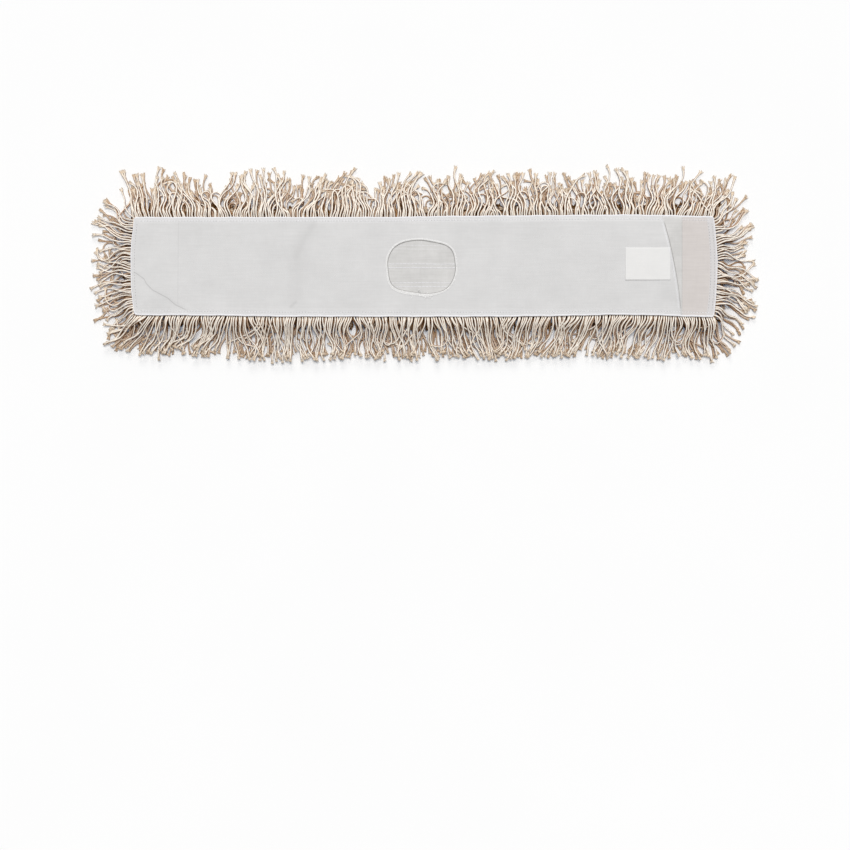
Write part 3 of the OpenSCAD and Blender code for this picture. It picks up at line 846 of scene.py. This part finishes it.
def make_mouth_stitching():
    half = high("mouth_hem_stitching")[1] + 10 * MM
    y = np.linspace(-half, half, 160)
    x = mouth_x(y) - 0.55 * HEM_W
    label = (y > low("care_label")[1]) & (y < high("care_label")[1])
    paths = stitch_points(np.stack([x, y, pocket_height(x, y) + 0.6 * MM * label], 1))
    piece = thread_piece("mouth_thread", paths, white_thread, None, "mouth_hem_stitching")
    lifts_at_mouth(piece)
    # A dark cord just past the mouth edge paints the shade in the gap under it, widest towards the back
    half = half_w - 1.2 * SEAM_INSET
    y = np.linspace(-half, half, 120)
    x = mouth_x(y) + 0.45 * MM
    line = np.stack([x, y, pocket_height(x, y) - CLOTH_T - 0.35 * MM], 1)[None]
    radius = 0.55 * MM * (0.3 + 0.7 * smooth((y + 45 * MM) / (60 * MM)))
    piece = thread_piece("mouth_edge_shade", line, shade_thread, None, radius=radius)
    lifts_at_mouth(piece)


LOOP_R, CORD_R, LOOSE_R, EDGE_SHADE_R = 0.55 * MM, 0.45 * MM, 0.36 * MM, 0.6 * MM
LOOSE_SIDE, RAGGED_SIDE, FULL_SIDE = 1.55 * math.pi, 1.54 * math.pi, 1.36 * math.pi


def bell(angle, middle, spread):
    """1 at an angle round the oval, fading away from it."""
    return np.exp(-((angle - middle) / spread) ** 2)


def loose_ends(count, rng):
    """Short thread ends that stick out where the overlock was finished off."""
    angle = RAGGED_SIDE + rng.normal(0, 0.13, count)
    start = opening_edge(angle, rng.uniform(0.5, 4.0, count) * MM)
    heading = rng.normal(0, 0.9, count) + rng.choice([0, math.pi], count)
    t = np.linspace(0, 1, 6)[None]
    way = heading[:, None] + rng.normal(0, 0.9, (count, 1)) * t
    step = rng.uniform(4, 9, (count, 1)) * MM / 5
    x = start[:, :1] + np.cumsum(np.cos(way), 1) * step
    y = start[:, 1:] + np.cumsum(np.sin(way), 1) * step
    return np.stack([x, y, pocket_height(x, y) + 0.5 * MM], -1)


def make_overlock():
    """Close thread loops over the cut edge of the oval, with a looser ragged spot at its lower side."""
    rng = np.random.default_rng(14)
    count, steps = 210, 9
    angle = np.linspace(0, 2 * math.pi, count, endpoint=False)
    loose, full = bell(angle, LOOSE_SIDE, 0.16), bell(angle, FULL_SIDE, 0.55)
    depth = OVERLOCK_W * (0.42 + 0.08 * rng.standard_normal(count) + 0.5 * loose + 0.72 * full)
    t = np.linspace(0, 1, steps)
    turn = t * 1.25 * math.pi
    reach = (1 - np.cos(np.minimum(turn * 0.8, math.pi))) / 2
    out = (1 - reach)[None] * depth[:, None] - 0.5 * MM * np.sin(math.pi * t)[None] * (1 + loose[:, None])
    skew = 0.5 * MM * (t - 0.5)[None] + rng.normal(0, 0.12 * MM, (count, 1))
    edge, ahead = opening_edge(angle), opening_edge(angle + 0.01) - opening_edge(angle - 0.01)
    ahead /= np.linalg.norm(ahead, axis=1)[:, None]
    normal = np.stack([ahead[:, 1], -ahead[:, 0]], 1)
    xy = edge[:, None] + normal[:, None] * out[..., None] + ahead[:, None] * skew[..., None]
    z = pocket_height(xy[..., 0], xy[..., 1]) + 0.25 * MM * np.sin(math.pi * t)[None]
    z = z - 1.5 * MM * smooth((t - 0.6) / 0.4)[None]
    loops = np.concatenate([xy, z[..., None]], -1)
    round_angle = np.linspace(0, 2 * math.pi, 180)
    outer = OVERLOCK_W * (0.36 + 0.6 * bell(round_angle, FULL_SIDE, 0.55))
    cords = np.stack([on_pocket(opening_edge(round_angle, grow), height)
                      for grow, height in ((outer, 0.1 * MM), (-0.1 * MM, 0.0))])
    ragged = loose_ends(14, rng)
    points, faces, _ = joined([even_tubes(loops, LOOP_R, 5), even_tubes(cords, CORD_R, 6),
                               even_tubes(ragged, LOOSE_R, 5)])
    piece = add_piece("opening_rim", points, faces, rim_thread)
    backing_piece(piece, "thread", "opening_overlock")
    # A dark cord just inside the cut edge paints the shade in the gap under the rim
    cord = on_pocket(opening_edge(round_angle, -0.95 * MM), -0.65 * MM)[None]
    thread_piece("opening_edge_shade", cord, shade_thread, "backing", radius=EDGE_SHADE_R, sides=6)


LABEL_BEND = 6 * MM


def make_label():
    """A blank woven label, sewn beside the mouth and lying back over the cloth with a faint curl."""
    lo, hi = low("care_label"), high("care_label")
    x, y = np.meshgrid(np.linspace(lo[0], hi[0], 60), np.linspace(lo[1], hi[1], 32))
    away = (hi[0] - x) / (hi[0] - lo[0])
    curl = away ** 3 * (0.75 + 0.25 * np.sin(3.1 * (y - lo[1]) / (hi[1] - lo[1])))
    z = pocket_height(x, y) + 0.45 * MM + 0.55 * MM * curl
    piece = sheet_piece("blank_label", x, y, z, LABEL_T, label_weave)
    finish_piece(piece, "label", "care_label")
    sewn, free = (hi[0], 0, plate_top), (hi[0] - LABEL_BEND, 0, plate_top)
    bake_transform(piece, "mouth_flap", "care_label", start=sewn, end=free)


# Yarn

YARN_R = 1.42 * MM
PLIES = 5
ROOT_LEAN = 0.45
TIP_WRAP = 0.15


def make_locks(low_end, high_end, spec, rng):
    """Neighbouring strands lie in locks that share a lean, a bend and a wave."""
    edges = low_end - spec["lock"][1] + np.cumsum(rng.uniform(*spec["lock"], 120))
    edges = edges[:np.searchsorted(edges, high_end) + 2]
    n = len(edges)
    return {"edge": edges, "centre": edges - np.diff(edges, prepend=edges[0] - spec["lock"][0]) / 2,
            "lean": rng.normal(0, spec["lean"], n), "bend": rng.normal(0, spec["bend"], n),
            "wave": rng.uniform(0.3, 1.0, n) * spec["wave"],
            "wavelength": rng.uniform(*spec["wavelength"], n),
            "phase": rng.uniform(0, 2 * math.pi, n), "reach": rng.uniform(*spec["lock_reach"], n),
            "bunch": rng.uniform(0, spec["bunch"], n)}


def headings(lead, lock, locks, spec, rng):
    """Each strand's heading at each step, in radians from straight out. lead adds to its lock's lean."""
    count = len(lead)

    def shared(key, spread):
        return (locks[key][lock] + rng.normal(0, spread, count))[:, None]

    s = np.linspace(0, 1, FRINGE_STEPS)[None]
    start = ROOT_LEAN + (1 - ROOT_LEAN) * smooth(s / 0.35)
    heading = (shared("lean", spec["stray"]) + lead[:, None]) * start + shared("bend", 0.06) * s ** 2
    period = rng.uniform(0.3, 0.55, (count, 1))
    own = np.sin(2 * math.pi * s / period + rng.uniform(0, 2 * math.pi, (count, 1)))
    swing = shared("wave", 0.03)
    wave = swing * np.sin(2 * math.pi * s / shared("wavelength", 0.01) + shared("phase", 0.12))
    heading = heading + (wave + spec["ripple"] * own) * smooth(s / 0.15)
    loose = rng.random(count) < spec["loose"]
    heading = heading + np.where(loose, rng.normal(0, 0.45, count), 0.0)[:, None] * smooth(s / 0.5)
    curled = rng.random(count) < spec["curled"]
    curl = np.where(curled, rng.uniform(1.0, 3.4, count), rng.uniform(0, 0.2, count))
    curl = curl * rng.choice([-1, 1], count)
    begin = rng.uniform(0.35, 0.65, count)[:, None]
    return heading + curl[:, None] * smooth((s - begin) / (1 - begin))


def frayed_tips(ends, directions, radius, strips, rng, length, spread):
    """The plies of each cut end, spread like a small brush."""
    count = len(ends)
    across = np.stack([-directions[:, 1], directions[:, 0], np.zeros(count)], 1)
    paths = []
    for p in range(PLIES):
        share = (p / (PLIES - 1) - 0.5) * 2
        turn = spread * (share + rng.normal(0, 0.12, count))
        tilt = rng.normal(0.02, 0.1, count)
        c, s = np.cos(turn), np.sin(turn)
        way = np.stack([directions[:, 0] * c - directions[:, 1] * s,
                        directions[:, 0] * s + directions[:, 1] * c,
                        directions[:, 2] * 0.6 + tilt], 1)
        beside = across * (share * 0.7 * radius)[:, None]
        lift = np.zeros((count, 3))
        lift[:, 2] = radius * rng.uniform(-0.35, 0.35, count)
        start = ends + beside + lift - directions * 2.5 * MM
        run = length * rng.uniform(0.85, 1.08, count)
        side = np.stack([-way[:, 1], way[:, 0], np.zeros(count)], 1) * rng.normal(0, 0.12, (count, 1))
        middle = start + way * (0.55 * run)[:, None]
        paths.append(np.stack([start, middle, start + (way + side) * run[:, None]], 1))
    paths = np.concatenate(paths)
    paths[..., 2] = np.maximum(paths[..., 2], 0.6 * MM)
    radii = np.tile(radius, PLIES)[:, None] * np.array([[0.5, 0.56, 0.5]])
    # The plies map round the strand's top, so only their sides take a little of the painted shade on the
    # flanks
    wrap = (YARN_TOP - TIP_WRAP, YARN_TOP + TIP_WRAP)
    return tubes(paths, radii, 3, np.tile(strips, PLIES), (0.88, 1.0), wrap)


def strands(paths, radius, rng, tip_length, tip_spread, sides, depth):
    """Yarn strands along paths with frayed cut ends, as (points, faces, uvs)."""
    count, steps = paths.shape[:2]
    s = np.linspace(0, 1, steps)
    # The strand's depth picks its band of map strips, which sets how much painted shade it takes
    share = YARN_STRIPS // DEPTHS
    strips = rng.integers(depth * share, (depth + 1) * share, count).astype(float)
    radii = radius[:, None] * (1 + 0.25 * smooth((s - 0.86) / 0.14))[None]
    directions = paths[:, -1] - paths[:, -2]
    directions /= np.linalg.norm(directions, axis=1)[:, None]
    body = tubes(paths, radii, sides, strips, (0.0, 0.9))
    tips = frayed_tips(paths[:, -1], directions, radius, strips, rng, tip_length, tip_spread)
    return joined([body, tips])


FRINGE_STEPS = 18
ROOT_IN = 15 * MM
TIP_SPARE = 4 * MM
LONG_SIDES = ("front", "back")
SIDE_REACH = high("fringe_back")[1] - half_w
END_REACH = high("fringe_right")[0] - half_len
# Layers of strands from the short ones below to the top ones, with lengths in mm. Depth sets how much
# painted shade a layer takes: the short filler is painted darkest
LAYERS = (
    {"pitch": 3.6, "share": 0.31, "landing": 0.70, "sink": 8.0, "floor": 3.0, "rise": 0.0, "depth": 3},
    {"pitch": 6.0, "share": 0.92, "landing": 0.40, "sink": 6.0, "floor": 0.0, "rise": 0.0, "depth": 2},
    {"pitch": 5.2, "share": 0.94, "landing": 0.60, "sink": 3.0, "floor": 1.6, "rise": 2.0, "depth": 1},
    {"pitch": 4.0, "share": 1.00, "landing": 0.86, "sink": 0.6, "floor": 3.0, "rise": 4.2, "depth": 0},
)
END_FRINGE = {"lock": (8 * MM, 22 * MM), "lean": 0.13, "bend": 0.22, "wavelength": (0.6, 1.1),
              "gather": 0.08, "bunch": 0.05, "thin": (1.02, 1.35, 2.2, 2.4), "stand": 0.6, "fan": 0.7,
              "arch": 1.2, "tip": (8 * MM, 0.20)}
# How each fringe lies: the width, lean, bend, wave and reach of its locks, how strands stray from them,
# cross, come loose or curl, how thinly each depth is rooted, and the length and spread of the frayed tips
SPECS = {
    "back": {"lock": (9 * MM, 28 * MM), "lean": 0.15, "bend": 0.30, "wave": 0.56, "wavelength": (0.65, 1.1),
             "ripple": 0.07, "stray": 0.05, "gather": 0.20, "bunch": 0.10, "cross": 0.07, "loose": 0.17,
             "curled": 0.23, "lock_reach": (0.89, 1.06), "reach": (0.64, 1.12), "skew": 1.4,
             "thin": (0.95, 1.12, 1.9, 0.8), "stand": 0.0, "fan": 0.25, "arch": 1.0, "tip": (8 * MM, 0.22)},
    "front": {"lock": (8 * MM, 28 * MM), "lean": 0.08, "bend": 0.12, "wave": 0.46,
              "wavelength": (0.75, 1.15), "ripple": 0.08, "stray": 0.08, "gather": 0.04, "bunch": 0.04,
              "cross": 0.16, "loose": 0.22, "curled": 0.06,
              "lock_reach": (0.885, 0.965), "reach": (0.86, 1.02), "skew": 1.0,
              "thin": (0.94, 1.0, 1.2, 1.0), "stand": 3.2, "fan": 0.2, "arch": 1.5, "tip": (7 * MM, 0.13)},
    "left": {**END_FRINGE, "wave": 0.48, "ripple": 0.08, "stray": 0.08, "cross": 0.18, "loose": 0.28,
             "curled": 0.15, "lock_reach": (0.88, 1.06), "reach": (0.68, 1.10), "skew": 1.3},
    "right": {**END_FRINGE, "wave": 0.42, "ripple": 0.07, "stray": 0.07, "cross": 0.16, "loose": 0.22,
              "curled": 0.08, "lock_reach": (0.90, 1.04), "reach": (0.72, 1.10), "skew": 1.2},
}
# Extra lean at places along X in mm, in radians: to the right for the front, to the left for the back
DRIFT_X = (-470, -380, -290, -120, 20, 80, 150, 250, 330, 400, 470)
DRIFT = {"front": (-0.75, -0.5, -0.05, 0.0, 0.1, 0.25, -0.3, -0.5, -0.4, -0.22, 0.08),
         "back": (0.35, 0.15, 0.0, -0.05, -0.1, -0.1, 0.0, -0.05, -0.3, -0.45, -0.45)}


def root_places(side, pitch, rng):
    """Where a layer's strands leave an edge: place along it, point, outward normal, nearness to a corner."""
    if side in LONG_SIDES:
        sign = 1 if side == "back" else -1
        reach = half_len - CORNER_R
        along = np.arange(-reach, reach, pitch)
        along = along + rng.uniform(-0.3, 0.3, len(along)) * pitch
        points = np.stack([along, np.full_like(along, sign * half_w)], 1)
        normals = np.tile([0.0, float(sign)], (len(along), 1))
        corner = np.sign(along) * smooth(1 - (reach - np.abs(along)) / (40 * MM)) * -sign
        return along, points, normals, corner
    sign = 1 if side == "right" else -1
    ring, ring_normals = outline(0.0, pitch)
    on_end = ring_normals[:, 0] * sign > 0.12
    points, normals = ring[on_end], ring_normals[on_end]
    points = points + normals[:, ::-1] * (-1, 1) * (rng.uniform(-0.3, 0.3, len(points)) * pitch)[:, None]
    along = points[:, 1]
    corner = np.sign(along) * smooth(1 - (half_w - np.abs(along)) / (46 * MM)) * sign
    return along, points, normals, corner


def walked(shares, step):
    """How far each strand has come at each step, from none at its root."""
    return np.concatenate([np.zeros((len(shares), 1)), np.cumsum(shares * step, 1)], 1)


def fringe_layer(side, layer, locks, rng):
    """One layer of a fringe, with strands that lean, fall, wave and lie on the floor."""
    spec = SPECS[side]
    reach = SIDE_REACH if side in LONG_SIDES else END_REACH
    pitch = layer["pitch"] * MM * spec["thin"][layer["depth"]]
    along, roots, normals, corner = root_places(side, pitch, rng)
    count = len(along)
    short, long = spec["reach"]
    lock = np.searchsorted(locks["edge"], along + rng.normal(0, 2 * MM, count))
    locks = {**locks, "lean": locks["lean"] + rng.normal(0, spec["cross"], len(locks["lean"]))}
    own = short + (long - short) * rng.random(count) ** spec["skew"]
    length = reach * layer["share"] * locks["reach"][lock] * own - TIP_SPARE
    beside = np.stack([-normals[:, 1], normals[:, 0]], 1)
    inward = (locks["centre"][lock] - along) * np.sign(beside.sum(1))
    roots = roots + beside * (locks["bunch"][lock] * inward)[:, None]
    lead = spec["gather"] * inward / length
    if side in DRIFT:
        lead = lead + np.interp(along / MM, DRIFT_X, DRIFT[side])
    heading = headings(lead, lock, locks, spec, rng)
    heading = heading + (spec["fan"] * corner)[:, None] * smooth(np.linspace(0, 1, FRINGE_STEPS) / 0.4)[None]
    step = length[:, None] / (FRINGE_STEPS - 1)
    out, aside = walked(np.cos(heading[:, 1:]), step), walked(np.sin(heading[:, 1:]), step)
    xy = roots[:, None] + normals[:, None] * out[..., None] + beside[:, None] * aside[..., None]
    radius = YARN_R * rng.uniform(0.85, 1.12, count)
    s = np.linspace(0, 1, FRINGE_STEPS)[None]
    landing = layer["landing"] * rng.uniform(0.85, 1.1, (count, 1))
    root_z = base_z + EDGE_RAISE - radius - layer["sink"] * MM - rng.uniform(0, 1.2 * MM, count)
    stand = layer["floor"] + spec["stand"] * max(2 - layer["depth"], 0)
    floor = radius + stand * MM * rng.uniform(0.4, 1.0, count)
    fall = smooth(s / landing) ** 1.2
    z = root_z[:, None] + (floor - root_z)[:, None] * fall
    rise = layer["rise"] * spec["arch"] * MM * rng.uniform(0.6, 1.15, (count, 1))
    z += rise * smooth(s / 0.1) * (1 - smooth((s - 0.12) / 0.4))
    ripple = rng.uniform(0, 2 * math.pi, (count, 1))
    z += 0.9 * MM * np.sin(2 * math.pi * s / 0.45 + ripple) * smooth(s / 0.3) * smooth((s - 0.1) / 0.3)
    z = np.maximum(z, radius[:, None])
    sewn_xy = roots - normals * ROOT_IN
    sewn = np.concatenate([sewn_xy, (root_z + 0.5 * MM)[:, None]], 1)
    paths = np.concatenate([sewn[:, None], np.concatenate([xy, z[..., None]], -1)], 1)
    return strands(paths, radius, rng, *spec["tip"], 6, layer["depth"])


FOLD_START, FOLD_END = -5 * MM, 12 * MM


def make_fringe(side, seed):
    rng = np.random.default_rng(seed)
    span = half_len if side in LONG_SIDES else half_w
    locks = make_locks(-span, span, SPECS[side], rng)
    points, faces, uvs = joined([fringe_layer(side, layer, locks, rng) for layer in LAYERS])
    piece = add_piece(f"yarn_{side}", points, faces, fringe_yarn, uvs)
    finish_piece(piece, "yarn", f"fringe_{side}")
    axis = np.array(joint(f"fringe_{side}_fold")["pos_m"])
    way = axis * (1, 1, 0) / np.linalg.norm(axis[:2])
    start, end = tuple(axis + way * FOLD_START), tuple(axis + way * FOLD_END)
    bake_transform(piece, "backing", f"fringe_{side}", start=start, end=end)


PILE_STEPS = 11
PILE_PER_ROW = 470
FRINGE_SEED, PILE_SEED = 31, 50


def make_pile_row(i, line, seed):
    """A row of cut yarns that hang from their thread lines, bend over and lie tangled on the floor."""
    rng = np.random.default_rng(seed)
    lo, hi = low(f"yarn_row_{i}"), high(f"yarn_row_{i}")
    count = PILE_PER_ROW
    x = np.linspace(lo[0] + 4 * MM, hi[0] - 4 * MM, count) + rng.normal(0, 3 * MM, count)
    y = line + rng.uniform(-0.5, 0.5, count) * row_line_gap
    radius = YARN_R * rng.uniform(0.9, 1.1, count)
    length = rng.uniform(38, 62, count) * MM
    heading = rng.uniform(0, 2 * math.pi, count)
    s = np.linspace(0, 1, PILE_STEPS)[None]
    turn = rng.normal(0, 1.1, (count, 1)) * s
    turn = turn + 0.5 * np.sin(2 * math.pi * s / 0.6 + rng.uniform(0, 6.28, (count, 1)))
    way = heading[:, None] + turn
    flat = smooth(s / rng.uniform(0.3, 0.45, (count, 1)))
    step = length[:, None] / (PILE_STEPS - 1)
    dx = np.cumsum(np.cos(way) * flat * step, 1)
    dy = np.cumsum(np.sin(way) * flat * step, 1)
    px, py = x[:, None] + dx, y[:, None] + dy
    px = np.clip(px, -half_len - 12 * MM, half_len + 12 * MM)
    edge = half_w + 8 * MM
    py = np.where(np.abs(py) > edge, np.sign(py) * (edge + 0.25 * (np.abs(py) - edge)), py)
    rest = rng.uniform(0, 0.55, count) ** 1.6 * (base_z - 4 * MM) + radius
    root = base_height(x, y) - CLOTH_T - 0.5 * MM
    z = rest[:, None] + (root - rest)[:, None] * (1 - smooth(s / 0.42))
    ripple = rng.uniform(0, 6.28, (count, 1))
    z += 0.8 * MM * np.sin(2 * math.pi * s / 0.5 + ripple) * smooth((s - 0.4) / 0.3)
    z = np.maximum(z, radius[:, None])
    points, faces, uvs = strands(np.stack([px, py, z], -1), radius, rng, 8 * MM, 0.25, 5, 1)
    piece = add_piece(f"pile_{i}", points, faces, pile_yarn, uvs)
    backing_piece(piece, "pile_yarn", f"yarn_row_{i}")


# All the pieces

make_pocket()
make_base()
make_end_panel()
make_facings()
make_binding()
make_seams()
make_row_lines()
make_mouth_stitching()
make_overlock()
make_label()
for side_seed, side_name in enumerate(SPECS, FRINGE_SEED):
    make_fringe(side_name, side_seed)
for row, row_line in enumerate(row_lines, 1):
    make_pile_row(row, row_line, PILE_SEED + row)


# Floor, light and camera

IMAGE_W = 850
PIXEL = 1.597 * MM
HEAD_AT = (424.0, 265.75)
CAMERA_H = 3.0
FLOOR_SIZE = 12.0
# Each sun: name, strength, elevation and turn in degrees, and angle in radians
SUNS = (("key", 2.023, 75.0, -8.0, 0.4), ("side", 0.86, 32.0, 4.0, 0.45))
SKY = 0.285
FLOOR_GLOW = (0.038, 0.070, 0.115)
FLOOR_COLOURS = ((0.901, 0.877, 0.847), (0.911, 0.887, 0.857))


def make_floor():
    material, tree, bsdf = new_material("floor")
    place = add(tree, "ShaderNodeTexCoord").outputs["Object"]
    mottle = ramp(tree, noise(tree, place, 3.0), [(0.3, FLOOR_COLOURS[0]), (0.7, FLOOR_COLOURS[1])])
    tree.links.new(mottle, bsdf.inputs["Base Color"])
    bsdf.inputs["Roughness"].default_value = 1.0
    bsdf.inputs["Specular IOR Level"].default_value = 0.0
    seen = seen_directly(tree)
    bsdf.inputs["Emission Color"].default_value = (*FLOOR_GLOW, 1)
    tree.links.new(seen, bsdf.inputs["Emission Strength"])
    half = FLOOR_SIZE / 2
    corners = np.array([(-half, -half, 0), (half, -half, 0), (half, half, 0), (-half, half, 0)])
    floor = add_piece("floor", corners, [np.array([[0, 1, 2, 3]])], material)


def make_light():
    world = bpy.data.worlds.new("world")
    bpy.context.scene.world = world
    world.use_nodes = True
    tree = world.node_tree
    shade = tree.nodes["Background"]
    seen = seen_directly(tree)
    tint = mixed(tree, seen, (0.98, 0.98, 0.975, 1.0), (0.985, 0.985, 0.985))
    tree.links.new(tint, shade.inputs["Color"])
    tree.links.new(math_node(tree, "MULTIPLY_ADD", seen, 1.0 - SKY, SKY), shade.inputs["Strength"])

    for name, strength, elevation, turn, spread in SUNS:
        lamp = bpy.data.lights.new(name, "SUN")
        lamp.energy, lamp.color, lamp.angle = strength, (1.0, 0.99, 0.97), spread
        sun = bpy.data.objects.new(name, lamp)
        sun.rotation_euler = (math.radians(elevation - 90), 0, math.radians(turn))
        sun.location = (0, 2, 2)
        bpy.context.scene.collection.objects.link(sun)


def make_camera():
    camera = bpy.data.cameras.new("camera")
    view = bpy.data.objects.new("camera", camera)
    x = (IMAGE_W / 2 - HEAD_AT[0]) * PIXEL
    y = (HEAD_AT[1] - IMAGE_W / 2) * PIXEL
    view.location = (x, y, plate_top + CAMERA_H)
    camera.sensor_width = 36.0
    camera.lens = camera.sensor_width * CAMERA_H / (IMAGE_W * PIXEL)
    bpy.context.scene.collection.objects.link(view)
    bpy.context.scene.camera = view


make_floor()
make_light()
make_camera()
bpy.context.scene.view_settings.view_transform = "Standard"
